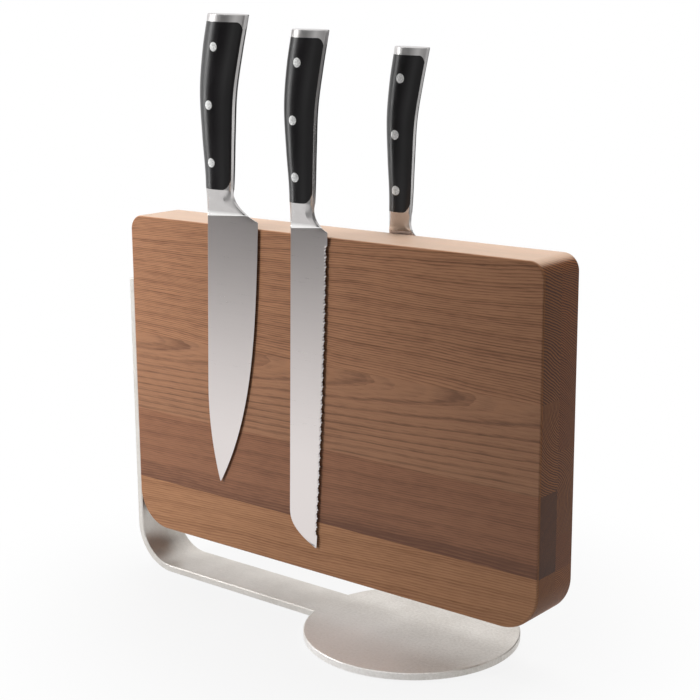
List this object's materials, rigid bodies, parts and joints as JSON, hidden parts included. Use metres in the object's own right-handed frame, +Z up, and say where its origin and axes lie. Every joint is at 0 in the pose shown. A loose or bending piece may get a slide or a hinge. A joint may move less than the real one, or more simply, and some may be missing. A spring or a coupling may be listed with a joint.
{
  "type": "magnetic knife block with knives",
  "caption": "Upright wooden slab on a bent steel stand that holds kitchen knives flat against both faces by hidden magnets; each knife pulls straight off.",
  "frame": {"origin": "on the table, under the middle of the whole product's bounding box", "axes": "+X along the block towards the foot's free end, -Y out of the front face, +Z up"},
  "size_m": [0.365, 0.15, 0.4218],
  "materials": {
    "beech": "oiled, satin",
    "beech_light": "oiled, satin",
    "magnet": "nickel plated",
    "mild_steel": "plain",
    "stand_steel": "brushed, satin",
    "screw_steel": "plain",
    "insert_brass": "plain",
    "pad_rubber": "matt",
    "blade_steel": "satin blade, polished bolster and cap",
    "scale_plastic": "satin black",
    "rivet_steel": "ground flush"
  },
  "bodies": {
    "block": {"front_stave_1": "beech_light", "front_stave_2": "beech", "front_stave_3": "beech", "front_stave_4": "beech", "back_stave_1": "beech_light", "back_stave_2": "beech", "back_stave_3": "beech_light", "back_stave_4": "beech", "back_stave_5": "beech_light", "front_magnets": "magnet", "front_backing_bars": "mild_steel", "front_filler_strips": "beech_light", "back_magnets": "magnet", "back_backing_bars": "mild_steel", "back_filler_strips": "beech_light", "stand_plate": "stand_steel", "leg_screws": "screw_steel", "threaded_inserts": "insert_brass", "rubber_pads": "pad_rubber"},
    "chef_knife": {"chef_knife_forging": "blade_steel", "chef_knife_front_scale": "scale_plastic", "chef_knife_back_scale": "scale_plastic", "chef_knife_rivets": "rivet_steel"},
    "bread_knife": {"bread_knife_forging": "blade_steel", "bread_knife_front_scale": "scale_plastic", "bread_knife_back_scale": "scale_plastic", "bread_knife_rivets": "rivet_steel"},
    "slicing_knife": {"slicing_knife_forging": "blade_steel", "slicing_knife_front_scale": "scale_plastic", "slicing_knife_back_scale": "scale_plastic", "slicing_knife_rivets": "rivet_steel"}
  },
  "joints": [
    {"name": "chef_knife_off", "type": "slide", "parent": "block", "child": "chef_knife", "axis": [0, -1, 0], "range_m": [0, 0.1]},
    {"name": "bread_knife_off", "type": "slide", "parent": "block", "child": "bread_knife", "axis": [0, -1, 0], "range_m": [0, 0.1]},
    {"name": "slicing_knife_off", "type": "slide", "parent": "block", "child": "slicing_knife", "axis": [0, 1, 0], "range_m": [0, 0.1]}
  ]
}
